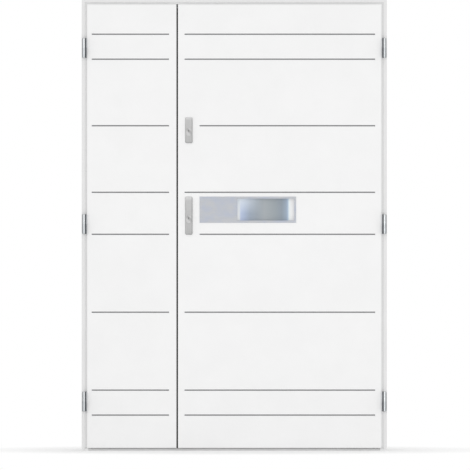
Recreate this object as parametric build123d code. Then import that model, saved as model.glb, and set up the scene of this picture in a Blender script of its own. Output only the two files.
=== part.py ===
from build123d import *
from math import hypot
import os

# Double entry door in its frame, millimetres. The outside faces -Y, X runs to the right as seen from
# outside, Z is up. The origin is the middle of the threshold's underside, halfway through the frame.

# Frame
frame_width = 1406.0
frame_height = 2080.0
frame_depth = 115.0
member_width = 38.0
stop_width = 14.0
rim_width = 14.8
shadow_gap = 9.4
arris = 1.5

# Threshold
rail_height = 7.5
rail_cover = 3.0
rail_inset = 6.3
nose_rise = 2.5
nose_depth = 8.0
foot_gap = 1.0
sill_height = 25.0
sill_slope = 12.0

# Leaves
active_width = 939.0
leaf_thickness = 64.0
lip_thickness = 20.0
lip_gap = 4.0
body_gap = 4.0
bottom_gap = 4.0
meeting_gap = 5.7
active_bevel = 2.5
inactive_bevel = 2.5
outer_skin_thickness = 9.0
inner_skin_thickness = 6.0
hinge_stile_width = 48.0
active_stile_width = 100.0
inactive_stile_width = 74.0
top_rail_width = 70.0
bottom_rail_width = 110.0

# Seals
seal_gap = 5.0
seal_width = 8.0
seal_clearance = 0.4
seal_stem = 3.0
kerf_depth = 6.0
meeting_seal_front = 2.5
meeting_seal_depth = 12.0
meeting_seal_width = 10.0
meeting_seal_play = 0.4
meeting_seal_edge = 1.5
meeting_seal_flat = 4.0
cover_recess = 3.0
cover_thickness = 4.0
cover_play = 0.5
cover_stem = 2.0
cover_kerf = 3.0

# Milled grooves of the outer skins
groove_width = 5.5
groove_depth = 4.5
groove_pair = 115.0
groove_from_top = 138.0
groove_from_bottom = 151.6
groove_over_insert = 20.0
groove_under_insert = 53.0
active_groove_margin = 31.0
inactive_groove_margin = 35.0
active_hinge_margin = 30.0
inactive_hinge_margin = 22.0

# Glazed insert
insert_from_edge = 100.3
insert_length = 444.6
insert_height = 120.5
insert_level = 1109.3
insert_sheet = 2.0
insert_edge = 0.8
window_length = 262.6
window_height = 100.5
window_from_end = 8.3
window_rise = 0.6
flange_depth = 13.0
glass_cover = 6.0
glass_setting = 0.5
pane = 4.0
glass_cavity = 12.0
spacer_width = 6.0
liner_wall = 12.0
bezel_border = 20.0
bezel_sheet = 3.0

# Hinges
hinge_from_top = 201.8
hinge_from_bottom = 214.5
middle_hinge_rise = 3.0
hinge_height = 90.0
knuckle_radius = 10.0
knuckle_clearance = 0.5
knuckle_edge = 2.0
pivot_inset = 12.0
pin_radius = 5.0
pin_clearance = 0.05
knuckle_end = 5.0
hinge_plate = 3.0
plate_end_gap = 2.0

# Locks
backset = 50.0
main_cylinder_level = 1065.0
main_lever_level = 1137.0
main_plate_low = 994.0
main_plate_height = 177.0
upper_cylinder_level = 1467.0
upper_plate_low = 1416.0
upper_plate_height = 120.0
plate_width = 34.5
plate_thickness = 8.0
plate_corner = 7.0
plate_edge = 4.0
inner_plate_edge = 2.0
case_thickness = 16.0
case_depth = 84.0
case_margin = 50.0
forend_width = 22.0
forend_sheet = 3.0
forend_margin = 25.0
strike_width = 24.0
bolt_thickness = 12.0
dead_bolt_height = 36.0
latch_height = 30.0
latch_bevel = 8.0
bolt_length = 35.0
bolt_play = 0.2
bolt_rest_inset = 0.5
bolt_throw = 20.0
strike_play = 2.0
cylinder_length = 36.0
cylinder_width = 23.0
cylinder_proud = 3.0
cylinder_play = 0.1
plug_radius = 7.5
plug_proud = 0.8
plug_length = 26.0
plug_rise = 5.0
keyway_width = 2.0
keyway_height = 9.0
keyway_depth = 8.0
running_fit = 0.08
turn_shaft_radius = 6.0
turn_wing_length = 34.0
turn_wing_width = 10.0
turn_wing_reach = 20.0
turn_wing_edge = 1.5
turn_wing_gap = 3.0
shaft_play = 0.5
spindle_side = 8.0
spindle_play = 0.3
lever_radius = 9.0
lever_stand_off = 33.0
lever_length = 115.0
lever_grip_height = 20.0
lever_grip_depth = 11.0
lever_grip_edge = 1.5

# Flush bolts of the inactive leaf
rod_radius = 5.0
rod_length = 320.0
rod_inset = 14.0
rod_play = 1.5
top_throw = 20.0
bottom_throw = 11.0
slide_plate_width = 20.0
slide_plate_length = 220.0
slide_plate_margin = 25.0
slide_width = 7.0
slide_height = 12.0
slide_end_play = 1.0
keep_length = 60.0
keep_width = 20.0
keep_sheet = 2.0

# Fixing holes through the jambs
fixing_count = 4
fixing_from_end = 200.0
fixing_radius = 5.0

# Planes across the depth, from outside to inside
y_face = -frame_depth / 2
y_skin = y_face + outer_skin_thickness
y_lip = y_face + lip_thickness
y_floor = y_lip + lip_gap
y_leaf_back = y_face + leaf_thickness
y_in = y_leaf_back - inner_skin_thickness
y_stop = y_leaf_back + seal_gap
y_back = frame_depth / 2
y_lock = (y_face + y_leaf_back) / 2
y_fixing = (y_floor + y_stop) / 2
y_cover = y_face + cover_recess + cover_thickness / 2

# Places across the width, on the right-hand side
x_out = frame_width / 2
x_rim = x_out - rim_width
x_lip = x_rim - shadow_gap
x_nose = x_lip - rail_inset
x_inner = x_out - member_width
x_body = x_inner - body_gap
x_stop = x_inner - stop_width
x_stile = x_body - hinge_stile_width
x_active = x_lip - active_width
x_inactive = x_active - meeting_gap

# Levels
z_rim = frame_height - rim_width
z_lip = z_rim - shadow_gap
z_inner = frame_height - member_width
z_body = z_inner - body_gap
z_stop = z_inner - stop_width
z_bottom = rail_height + bottom_gap
z_top_rail = z_body - top_rail_width
z_bottom_rail = z_bottom + bottom_rail_width

hinge_low = z_bottom + hinge_from_bottom
hinge_high = z_lip - hinge_from_top
hinge_levels = (hinge_low, (hinge_low + hinge_high) / 2 + middle_hinge_rise, hinge_high)
fixing_pitch = (frame_height - 2 * fixing_from_end) / (fixing_count - 1)
fixing_levels = [fixing_from_end + fixing_pitch * place for place in range(fixing_count)]
main_plate_levels = (main_plate_low, main_plate_low + main_plate_height)
upper_plate_levels = (upper_plate_low, upper_plate_low + upper_plate_height)

# Insert and its window
insert_left = x_active + insert_from_edge
insert_x = insert_left + insert_length / 2
insert_top = insert_level + insert_height / 2
insert_bottom = insert_level - insert_height / 2
window_x = insert_left + insert_length - window_from_end - window_length / 2
window_z = insert_level + window_rise
y_glass = y_face - insert_sheet + flange_depth
glass_depth = 2 * pane + glass_cavity

# Lock lines
x_lock = x_active + backset
x_pivot = x_out - pivot_inset
y_pivot = y_face - knuckle_radius - knuckle_clearance


def active_edge(y):
    return x_active + active_bevel * (y - y_face) / leaf_thickness


def inactive_edge(y):
    return x_inactive - inactive_bevel * (y - y_face) / leaf_thickness


x_forend = active_edge(y_lock + forend_width / 2)
x_forend_back = x_forend + forend_sheet
x_case_back = x_forend_back + case_depth
x_strike = inactive_edge(y_lock + strike_width / 2)
x_strike_back = x_strike - forend_sheet
x_bolt_tip = x_forend + bolt_rest_inset
x_pocket = x_bolt_tip - bolt_throw - strike_play
x_rod = inactive_edge(y_lock) - rod_inset


# Basic shapes

def block(x, y, z):
    size = (x[1] - x[0], y[1] - y[0], z[1] - z[0])
    return Pos(x[0], y[0], z[0]) * Box(*size, align=(Align.MIN, Align.MIN, Align.MIN))


def around(centre, size):
    return (centre - size / 2, centre + size / 2)


def plan_prism(outline, z):
    return extrude(Pos(0, 0, z[0]) * Polygon(*outline, align=None), z[1] - z[0], dir=(0, 0, 1))


def cross_prism(outline, x):
    return extrude(Plane.YZ.offset(x[0]) * Polygon(*outline, align=None), x[1] - x[0], dir=(1, 0, 0))


def face_prism(sketch, x, z, y):
    plane = Plane(origin=(x, y[1], z), x_dir=(1, 0, 0), z_dir=(0, -1, 0))
    return extrude(plane * sketch, y[1] - y[0], dir=(0, -1, 0))


def round_y(radius, x, z, y):
    return face_prism(Circle(radius), x, z, y)


def square_y(half, x, z, y):
    return block(around(x, 2 * half), y, around(z, 2 * half))


def square_z(half, x, y, z):
    return block(around(x, 2 * half), around(y, 2 * half), z)


def round_z(radius, x, y, z):
    return Pos(x, y, z[0]) * Cylinder(radius, z[1] - z[0], align=(Align.CENTER, Align.CENTER, Align.MIN))


def both_sides(part):
    return [part, mirror(part, about=Plane.YZ)]


# Frame members

def jamb():
    outline = [
        (x_rim + arris, y_face),
        (x_out, y_face),
        (x_out, y_back),
        (x_stop + arris, y_back),
        (x_stop, y_back - arris),
        (x_stop, y_stop),
        (x_inner, y_stop),
        (x_inner, y_floor),
        (x_rim, y_floor),
        (x_rim, y_face + arris),
    ]
    body = plan_prism(outline, (0, z_inner))
    body += block((x_nose, x_rim), (y_face, y_floor), (0, z_bottom - foot_gap))
    body -= cover_stems()
    kerf_x = (x_inner + x_stop) / 2
    body -= block(around(kerf_x, seal_stem), (y_stop, y_stop + kerf_depth), (0, z_inner))
    for level in hinge_levels:
        body -= frame_plate_foot(level)
    for level in fixing_levels:
        hole = Rot(Y=90) * Cylinder(fixing_radius, 2 * member_width)
        body -= Pos((x_inner + x_out) / 2, y_fixing, level) * hole
    return body


def head():
    body = block((-x_out, x_out), (y_face, y_back), (z_inner, frame_height))
    body -= block((-x_rim, x_rim), (y_face, y_floor), (z_inner, z_rim))
    body += block((-x_stop, x_stop), (y_stop, y_back), (z_stop, z_inner))
    kerf_z = (z_inner + z_stop) / 2
    body -= block((-x_stop, x_stop), (y_stop, y_stop + kerf_depth), around(kerf_z, seal_stem))
    body -= block((-x_rim, x_rim), around(y_cover, cover_stem), (z_rim, z_rim + cover_kerf))
    body -= both_sides(cover_stems()[-1])
    body -= head_keep_plate()
    body -= square_z(rod_radius + rod_play, x_rod, y_lock, (z_inner, z_inner + top_throw))
    return body


def threshold_rail():
    top = rail_height + nose_rise
    nose = [
        (y_face, 0),
        (y_floor, 0),
        (y_floor, rail_height),
        (y_face + nose_depth + nose_rise, rail_height),
        (y_face + nose_depth, top),
        (y_face + arris, top),
        (y_face, top - arris),
    ]
    body = cross_prism(nose, (-x_nose, x_nose))
    body += block((-x_inner, x_inner), (y_floor, y_stop), (rail_height - rail_cover, rail_height))
    body -= threshold_keep_plate()
    body -= square_z(rod_radius + rod_play, x_rod, y_lock, (0, rail_height))
    return body


def threshold_sill():
    low = rail_height - rail_cover
    body = block((-x_inner, x_inner), (y_floor, y_stop), (0, low))
    raised = [
        (y_stop, 0),
        (y_back, 0),
        (y_back, sill_height - sill_slope),
        (y_back - sill_slope, sill_height),
        (y_stop, sill_height),
    ]
    body += cross_prism(raised, (-x_stop, x_stop))
    kerf_z = (z_bottom + sill_height) / 2
    body -= block((-x_stop, x_stop), (y_stop, y_stop + kerf_depth), around(kerf_z, seal_stem))
    body -= square_z(rod_radius + rod_play, x_rod, y_lock, (0, low))
    return body


# Seals, a round bulb on a stem that is pressed into its kerf

def seal_section():
    rise = seal_gap - seal_clearance - seal_width / 2
    bulb = Pos(0, -rise) * Circle(seal_width / 2)
    bulb += Pos(0, -rise / 2) * Rectangle(seal_width, rise)
    bulb -= Pos(0, seal_width / 2) * Rectangle(seal_width, seal_width)
    return bulb + Pos(0, kerf_depth / 2) * Rectangle(seal_stem, kerf_depth)


def jamb_seal():
    section = Pos((x_inner + x_stop) / 2, y_stop, rail_height) * seal_section()
    return extrude(section, z_inner - rail_height, dir=(0, 0, 1))


def cross_seal(level, reach):
    plane = Plane(origin=(-reach, y_stop, level), x_dir=(0, 0, 1), z_dir=(1, 0, 0))
    section = plane * Rot(0, 0, 180) * seal_section()
    return extrude(section, 2 * reach, dir=(1, 0, 0))


def meeting_seal():
    near = y_face + meeting_seal_front
    far = near + meeting_seal_width
    tip = x_active - meeting_seal_play
    edge = meeting_seal_edge
    bulb = [
        (inactive_edge(near), near),
        (tip - edge, near),
        (tip, near + edge),
        (tip, near + edge + meeting_seal_flat),
        (inactive_edge(far) + edge, far),
        (inactive_edge(far), far),
    ]
    return plan_prism(bulb, (z_bottom, z_body)) + meeting_kerf(x_inactive)


def meeting_kerf(reach):
    y = y_face + meeting_seal_depth
    root = inactive_edge(y) - kerf_depth
    return block((root, reach), around(y - seal_stem / 2, seal_stem), (z_bottom, z_body))


# Cover seals, which close the gap round the leaves and stop at each hinge

def cover_spans():
    edges = [z_bottom]
    for level in hinge_levels:
        edges.extend(around(level, hinge_height))
    edges.append(z_lip + cover_play)
    return list(zip(edges[::2], edges[1::2]))


def cover_stems():
    return [block((x_rim, x_rim + cover_kerf), around(y_cover, cover_stem), z) for z in cover_spans()]


def cover_seal():
    y = around(y_cover, cover_thickness)
    strips = [block((x_lip + cover_play, x_rim), y, z) for z in cover_spans()]
    return [strip + stem for strip, stem in zip(strips, cover_stems())]


def head_cover_seal():
    strip = block((-x_rim, x_rim), around(y_cover, cover_thickness), (z_lip + cover_play, z_rim))
    return strip + block((-x_rim, x_rim), around(y_cover, cover_stem), (z_rim, z_rim + cover_kerf))


# Hinges

def knuckle(low, high, chamfered):
    body = round_z(knuckle_radius, x_pivot, y_pivot, (low, high))
    rim = body.edges().filter_by(GeomType.CIRCLE).sort_by(Axis.Z)[chamfered]
    return chamfer(rim, knuckle_edge)


def frame_plate_foot(level):
    return block(
        (x_inner + plate_end_gap, x_rim),
        (y_floor, y_floor + hinge_plate),
        around(level, hinge_height),
    )


def frame_half(level):
    low = level - hinge_height / 2
    strap_x = (x_rim - hinge_plate, x_rim)
    body = block(strap_x, (y_face, y_floor + hinge_plate), around(level, hinge_height))
    body += block(strap_x, (y_pivot, y_face), (low, level))
    body += frame_plate_foot(level)
    body += knuckle(low, level, 0)
    pin_top = level + hinge_height / 2 - knuckle_end - pin_clearance
    return body + round_z(pin_radius, x_pivot, y_pivot, (level, pin_top))


def leaf_half(level):
    high = level + hinge_height / 2
    strap_x = (x_lip, x_lip + hinge_plate)
    body = block(strap_x, (y_face, y_lip + hinge_plate), around(level, hinge_height))
    body += block(strap_x, (y_pivot, y_face), (level, high))
    foot_x = (x_body + plate_end_gap, x_lip + hinge_plate)
    body += block(foot_x, (y_lip, y_lip + hinge_plate), around(level, hinge_height))
    body += knuckle(level, high, -1)
    return body - round_z(pin_radius + pin_clearance, x_pivot, y_pivot, (level, high - knuckle_end))


# Leaves, built with the hinges on the right; the inactive one is then mirrored

def slab(edge, bevel, far, y, z):
    near = [edge + bevel * (value - y_face) / leaf_thickness for value in y]
    return plan_prism([(near[0], y[0]), (far, y[0]), (far, y[1]), (near[1], y[1])], z)


def groove_levels():
    high = z_lip - groove_from_top
    low = z_bottom + groove_from_bottom
    over = insert_top + groove_over_insert
    under = insert_bottom - groove_under_insert
    middle_high = (high - groove_pair + over) / 2
    middle_low = (low + groove_pair + under) / 2
    return [high, high - groove_pair, middle_high, over, under, middle_low, low + groove_pair, low]


def groove(span, level):
    return block(span, (y_face, y_face + groove_depth), around(level, groove_width))


def outer_skin(edge, bevel, spans):
    body = slab(edge, bevel, x_lip, (y_face, y_skin), (z_bottom, z_lip))
    for span, level in zip(spans, groove_levels()):
        body -= groove(span, level)
    return body


def inner_skin(edge, bevel):
    return slab(edge, bevel, x_body, (y_in, y_leaf_back), (z_bottom, z_body))


def over_lip():
    return block((-x_out, x_out), (y_lip, y_back), (z_body, frame_height))


def hinge_stile():
    outline = [
        (x_stile, y_skin),
        (x_lip, y_skin),
        (x_lip, y_lip),
        (x_body, y_lip),
        (x_body, y_in),
        (x_stile, y_in),
    ]
    return plan_prism(outline, (z_bottom, z_lip)) - over_lip()


def lock_stile(edge, bevel, width):
    return slab(edge, bevel, edge + width, (y_skin, y_in), (z_bottom, z_lip)) - over_lip()


def top_rail(x):
    outline = [
        (y_skin, z_top_rail),
        (y_in, z_top_rail),
        (y_in, z_body),
        (y_lip, z_body),
        (y_lip, z_lip),
        (y_skin, z_lip),
    ]
    return cross_prism(outline, x)


def leaf(name, edge, bevel, width, spans):
    inside = (edge + width, x_stile)
    return {
        name + "_outer_skin": outer_skin(edge, bevel, spans),
        name + "_inner_skin": inner_skin(edge, bevel),
        name + "_hinge_stile": hinge_stile(),
        name + "_lock_stile": lock_stile(edge, bevel, width),
        name + "_top_rail": top_rail(inside),
        name + "_bottom_rail": block(inside, (y_skin, y_in), (z_bottom, z_bottom_rail)),
        name + "_core": block(inside, (y_skin, y_in), (z_bottom_rail, z_top_rail)),
    }


# Glazed insert of the active leaf

def window(grow, y):
    shape = Rectangle(window_length + 2 * grow, window_height + 2 * grow)
    return face_prism(shape, window_x, window_z, y)


def insert_plate():
    shape = Rectangle(insert_length, insert_height)
    body = face_prism(shape, insert_x, insert_level, (y_face - insert_sheet, y_face))
    body = chamfer(body.faces().sort_by(Axis.Y)[0].edges(), insert_edge)
    body += window(insert_sheet, (y_face, y_glass))
    return body - window(0, (y_face - insert_sheet, y_glass))


def glass_panes():
    inner = y_glass + pane + glass_cavity
    outer_pane = window(glass_cover, (y_glass, y_glass + pane))
    return [outer_pane, window(glass_cover, (inner, inner + pane))]


def glass_spacer():
    y = (y_glass + pane, y_glass + pane + glass_cavity)
    return window(glass_cover, y) - window(glass_cover - spacer_width, y)


def glazing_liner():
    opening = glass_cover + glass_setting
    return window(opening + liner_wall, (y_skin, y_in)) - window(opening, (y_skin, y_in))


def inner_bezel():
    y = (y_glass + glass_depth, y_leaf_back)
    body = window(bezel_border, (y_leaf_back, y_leaf_back + bezel_sheet))
    body += window(bezel_sheet, y)
    return body - window(0, (y[0], y_leaf_back + bezel_sheet))


# Locks of the active leaf

def oval(grow=0):
    return SlotOverall(cylinder_length + 2 * grow, cylinder_width + 2 * grow, rotation=90)


def plate_shape(levels):
    return RectangleRounded(plate_width, levels[1] - levels[0], plate_corner)


def outer_plate(levels, cylinder_level):
    y = (y_face - plate_thickness, y_face)
    body = face_prism(plate_shape(levels), x_lock, sum(levels) / 2, y)
    body = chamfer(body.faces().sort_by(Axis.Y)[0].edges(), plate_edge)
    return body - face_prism(oval(cylinder_play), x_lock, cylinder_level, y)


def inner_plate(levels, cylinder_level, lever_level):
    y = (y_leaf_back, y_leaf_back + plate_thickness)
    body = face_prism(plate_shape(levels), x_lock, sum(levels) / 2, y)
    body = chamfer(body.faces().sort_by(Axis.Y)[-1].edges(), inner_plate_edge)
    body -= round_y(turn_shaft_radius + running_fit, x_lock, cylinder_level, y)
    if lever_level:
        body -= round_y(lever_radius + running_fit, x_lock, lever_level, y)
    return body


def cylinder(level):
    front = y_face - plate_thickness - cylinder_proud
    body = face_prism(oval(), x_lock, level, (front, y_lock - case_thickness / 2))
    y = (front, front + plug_length)
    return body - round_y(plug_radius + running_fit, x_lock, level + plug_rise, y)


def plug(level):
    front = y_face - plate_thickness - cylinder_proud - plug_proud
    body = round_y(plug_radius, x_lock, level + plug_rise, (front, front + plug_proud + plug_length))
    way = face_prism(
        Rectangle(keyway_width, keyway_height), x_lock, level + plug_rise, (front, front + keyway_depth)
    )
    return body - way


def thumb_turn(level):
    near = y_leaf_back + plate_thickness + turn_wing_gap
    wing_y = (near, near + turn_wing_reach)
    wing = block(around(x_lock, turn_wing_width), wing_y, around(level, turn_wing_length))
    wing = chamfer(wing.faces().sort_by(Axis.Y)[-1].edges(), turn_wing_edge)
    return round_y(turn_shaft_radius, x_lock, level, (y_lock, near)) + wing


def turn_hole(level, y):
    return square_y(turn_shaft_radius + shaft_play, x_lock, level, y)


def spindle_hole(level, y):
    return square_y(hypot(spindle_side, spindle_side) / 2 + spindle_play, x_lock, level, y)


def cylinder_hole(level, y):
    z = around(level, cylinder_length + 2 * cylinder_play)
    return block(around(x_lock, cylinder_width + 2 * cylinder_play), y, z)


def lever_handle(level):
    near = y_leaf_back + plate_thickness + lever_stand_off
    grip_x = (x_lock - lever_radius, x_lock + lever_length)
    grip = block(grip_x, (near, near + lever_grip_depth), around(level, lever_grip_height))
    grip = chamfer(grip.faces().sort_by(Axis.Y)[-1].edges(), lever_grip_edge)
    neck = round_y(lever_radius, x_lock, level, (y_leaf_back, near))
    spindle_y = (y_lock - case_thickness / 2, y_leaf_back)
    return grip + neck + face_prism(Rectangle(spindle_side, spindle_side), x_lock, level, spindle_y)


def bolt_space(level, height, x):
    play = 2 * bolt_play
    return block(x, around(y_lock, bolt_thickness + play), around(level, height + play))


def dead_bolt(level):
    x = (x_bolt_tip, x_bolt_tip + bolt_length)
    return block(x, around(y_lock, bolt_thickness), around(level, dead_bolt_height))


def latch_bolt(level):
    y = around(y_lock, bolt_thickness)
    outline = [
        (x_bolt_tip, y[1]),
        (x_bolt_tip + bolt_length, y[1]),
        (x_bolt_tip + bolt_length, y[0]),
        (x_bolt_tip + latch_bevel, y[0]),
        (x_bolt_tip, y[1] - bolt_thickness / 4),
    ]
    return plan_prism(outline, around(level, latch_height))


def bolts_of(cylinder_level, lever_level):
    bolts = [(cylinder_level, dead_bolt_height)]
    return bolts + [(lever_level, latch_height)] if lever_level else bolts


def case_levels(cylinder_level, lever_level):
    return (cylinder_level - case_margin, (lever_level or cylinder_level) + case_margin)


def forend_levels(cylinder_level, lever_level):
    low, high = case_levels(cylinder_level, lever_level)
    return (low - forend_margin, high + forend_margin)


def lock_case(cylinder_level, lever_level):
    z = case_levels(cylinder_level, lever_level)
    y = around(y_lock, case_thickness)
    body = block((x_forend_back, x_case_back), y, z)
    for level, height in bolts_of(cylinder_level, lever_level):
        body -= bolt_space(level, height, (x_forend_back, x_bolt_tip + bolt_length))
    body -= turn_hole(cylinder_level, y)
    if lever_level:
        body -= spindle_hole(lever_level, y)
    return body


def forend(cylinder_level, lever_level):
    z = forend_levels(cylinder_level, lever_level)
    body = block((x_forend, x_forend_back), around(y_lock, forend_width), z)
    for level, height in bolts_of(cylinder_level, lever_level):
        body -= bolt_space(level, height, (x_forend, x_forend_back))
    return body


def strike(cylinder_level, lever_level):
    z = forend_levels(cylinder_level, lever_level)
    body = block((x_strike_back, x_strike), around(y_lock, strike_width), z)
    for level, height in bolts_of(cylinder_level, lever_level):
        body -= strike_hole(level, height, (x_strike_back, x_strike))
    return body


def strike_hole(level, height, x):
    play = 2 * strike_play
    return block(x, around(y_lock, bolt_thickness + play), around(level, height + play))


def lock_mortises(cylinder_level, lever_level):
    z = case_levels(cylinder_level, lever_level)
    forend_z = forend_levels(cylinder_level, lever_level)
    cuts = [
        block((x_inactive, x_forend_back), around(y_lock, forend_width), forend_z),
        block((x_forend_back, x_case_back), around(y_lock, case_thickness), z),
        cylinder_hole(cylinder_level, (y_face, y_lock)),
        turn_hole(cylinder_level, (y_lock, y_leaf_back)),
    ]
    if lever_level:
        cuts.append(spindle_hole(lever_level, (y_lock, y_leaf_back)))
    return cuts


def strike_mortises(cylinder_level, lever_level):
    z = forend_levels(cylinder_level, lever_level)
    cuts = [block((x_strike_back, x_active), around(y_lock, strike_width), z)]
    for level, height in bolts_of(cylinder_level, lever_level):
        cuts.append(strike_hole(level, height, (x_pocket, x_strike_back)))
    return cuts


# Flush bolts of the inactive leaf

def slide_plate_levels(top):
    if top:
        return (z_body - slide_plate_margin - slide_plate_length, z_body - slide_plate_margin)
    return (z_bottom + slide_plate_margin, z_bottom + slide_plate_margin + slide_plate_length)


def slide_travel(top):
    throw = top_throw if top else bottom_throw
    rest = sum(slide_plate_levels(top)) / 2
    low, high = around(rest, slide_height)
    low, high = (low, high + throw) if top else (low - throw, high)
    return (low - slide_end_play, high + slide_end_play)


def rod_levels(top):
    if top:
        return (z_body - bolt_rest_inset - rod_length, z_body - bolt_rest_inset)
    return (z_bottom + bolt_rest_inset, z_bottom + bolt_rest_inset + rod_length)


def flush_bolt(top):
    rest = sum(slide_plate_levels(top)) / 2
    x_face = inactive_edge(y_lock + slide_plate_width / 2) - bolt_rest_inset
    slide = block((x_rod, x_face), around(y_lock, slide_width), around(rest, slide_height))
    return round_z(rod_radius, x_rod, y_lock, rod_levels(top)) + slide


def slide_slot(top, x):
    return block(x, around(y_lock, slide_width + 2 * bolt_play), slide_travel(top))


def slide_plate(top):
    face = inactive_edge(y_lock + slide_plate_width / 2)
    x = (face - forend_sheet, face)
    return block(x, around(y_lock, slide_plate_width), slide_plate_levels(top)) - slide_slot(top, x)


def slide_mortises(top):
    face = inactive_edge(y_lock + slide_plate_width / 2)
    low, high = rod_levels(top)
    channel = (low - slide_end_play, z_body) if top else (z_bottom, high + slide_end_play)
    return [
        block((face - forend_sheet, x_active), around(y_lock, slide_plate_width), slide_plate_levels(top)),
        slide_slot(top, (x_rod, face)),
        square_z(rod_radius + running_fit, x_rod, y_lock, channel),
    ]


def head_keep_plate():
    return block(around(x_rod, keep_length), around(y_lock, keep_width), (z_inner, z_inner + keep_sheet))


def threshold_keep_plate():
    z = (rail_height - keep_sheet, rail_height)
    return block(around(x_rod, keep_length), around(y_lock, keep_width), z)


def keep(plate):
    return plate - round_z(rod_radius + rod_play, x_rod, y_lock, (0, frame_height))


# The door

def frame_nodes():
    right_jamb, left_jamb = both_sides(jamb())
    halves = [both_sides(frame_half(level)) for level in hinge_levels]
    return {
        "jamb_left": left_jamb,
        "jamb_right": right_jamb,
        "head": head(),
        "threshold_rail": threshold_rail(),
        "threshold_sill": threshold_sill(),
        "flush_bolt_keeps": Part() + [keep(head_keep_plate()), keep(threshold_keep_plate())],
        "jamb_seal_left": both_sides(jamb_seal())[1],
        "jamb_seal_right": jamb_seal(),
        "cover_seal_right": Part() + cover_seal(),
        "cover_seal_left": Part() + [both_sides(strip)[1] for strip in cover_seal()],
        "head_cover_seal": head_cover_seal(),
        "head_seal": cross_seal((z_inner + z_stop) / 2, x_stop),
        "threshold_seal": cross_seal((z_bottom + sill_height) / 2, x_stop),
        "hinge_frame_halves_right": Part() + [pair[0] for pair in halves],
        "hinge_frame_halves_left": Part() + [pair[1] for pair in halves],
    }


def lock_nodes(name, levels, cylinder_level, lever_level):
    return {
        name + "_outer_plate": outer_plate(levels, cylinder_level),
        name + "_inner_plate": inner_plate(levels, cylinder_level, lever_level),
        name + "_plug": plug(cylinder_level),
        name + "_thumb_turn": thumb_turn(cylinder_level),
        name + "_lock_case": lock_case(cylinder_level, lever_level),
        name + "_forend": forend(cylinder_level, lever_level),
        name + "_dead_bolt": dead_bolt(cylinder_level),
        name + "_strike": strike(cylinder_level, lever_level),
    }


def active_nodes():
    span = (x_active + active_groove_margin, x_lip - active_hinge_margin)
    short = (insert_left, span[1])
    spans = [span, span, short, span, short, span, span, span]
    nodes = leaf("active", x_active, active_bevel, active_stile_width, spans)
    cuts = lock_mortises(main_cylinder_level, main_lever_level)
    cuts += lock_mortises(upper_cylinder_level, None)
    for part in ("outer_skin", "inner_skin", "lock_stile"):
        nodes["active_" + part] -= cuts
    nodes["active_outer_skin"] -= window(insert_sheet, (y_face, y_skin))
    nodes["active_inner_skin"] -= window(bezel_sheet, (y_in, y_leaf_back))
    nodes["active_core"] -= window(glass_cover + glass_setting + liner_wall, (y_skin, y_in))
    nodes["hinge_leaf_halves_right"] = Part() + [leaf_half(level) for level in hinge_levels]
    nodes["insert_plate"] = insert_plate()
    nodes["glass_panes"] = Part() + glass_panes()
    nodes["glass_spacer"] = glass_spacer()
    nodes["glazing_liner"] = glazing_liner()
    nodes["inner_bezel"] = inner_bezel()
    nodes["lock_cylinders"] = Part() + [cylinder(main_cylinder_level), cylinder(upper_cylinder_level)]
    nodes["main_latch_bolt"] = latch_bolt(main_lever_level)
    nodes["lever_handle"] = lever_handle(main_lever_level)
    nodes.update(lock_nodes("main", main_plate_levels, main_cylinder_level, main_lever_level))
    nodes.update(lock_nodes("upper", upper_plate_levels, upper_cylinder_level, None))
    return nodes


def inactive_nodes():
    edge = -x_inactive
    span = (edge + inactive_groove_margin, x_lip - inactive_hinge_margin)
    built = leaf("inactive", edge, inactive_bevel, inactive_stile_width, [span] * 8)
    nodes = {name: mirror(part, about=Plane.YZ) for name, part in built.items()}
    cuts = strike_mortises(main_cylinder_level, main_lever_level)
    cuts += strike_mortises(upper_cylinder_level, None)
    cuts += slide_mortises(True) + slide_mortises(False) + [meeting_kerf(x_active)]
    nodes["inactive_lock_stile"] -= cuts
    halves = [both_sides(leaf_half(level))[1] for level in hinge_levels]
    nodes["hinge_leaf_halves_left"] = Part() + halves
    nodes["meeting_seal"] = meeting_seal()
    nodes["flush_bolt_plates"] = Part() + [slide_plate(True), slide_plate(False)]
    nodes["flush_bolt_top"] = flush_bolt(True)
    nodes["flush_bolt_bottom"] = flush_bolt(False)
    return nodes


os.makedirs("parts", exist_ok=True)
for name, part in {**frame_nodes(), **active_nodes(), **inactive_nodes()}.items():
    export_step(part, f"parts/{name}.step")
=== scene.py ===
import bpy
import bmesh
import math
from mathutils import Matrix, Vector


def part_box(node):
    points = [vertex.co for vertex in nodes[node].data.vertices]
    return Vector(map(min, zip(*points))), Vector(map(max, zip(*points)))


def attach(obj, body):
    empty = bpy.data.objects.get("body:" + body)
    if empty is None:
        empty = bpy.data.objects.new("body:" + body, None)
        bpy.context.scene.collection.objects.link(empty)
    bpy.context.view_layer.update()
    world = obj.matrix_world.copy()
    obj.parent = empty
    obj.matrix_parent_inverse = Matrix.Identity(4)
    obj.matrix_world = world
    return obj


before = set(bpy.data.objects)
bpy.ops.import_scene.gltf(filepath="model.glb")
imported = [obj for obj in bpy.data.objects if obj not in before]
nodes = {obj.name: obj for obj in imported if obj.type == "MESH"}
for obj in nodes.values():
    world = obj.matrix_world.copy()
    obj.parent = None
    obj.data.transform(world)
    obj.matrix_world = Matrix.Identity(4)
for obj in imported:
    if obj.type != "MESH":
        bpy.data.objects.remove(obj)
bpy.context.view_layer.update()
scene = bpy.context.scene
mm = 0.001


# Small helpers

# an sRGB hex value as linear light
def hexColour(code):
    channels = [int(code[i:i + 2], 16) / 255 for i in (1, 3, 5)]
    linear = [c / 12.92 if c <= 0.04045 else ((c + 0.055) / 1.055) ** 2.4 for c in channels]
    return (*linear, 1.0)


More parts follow.
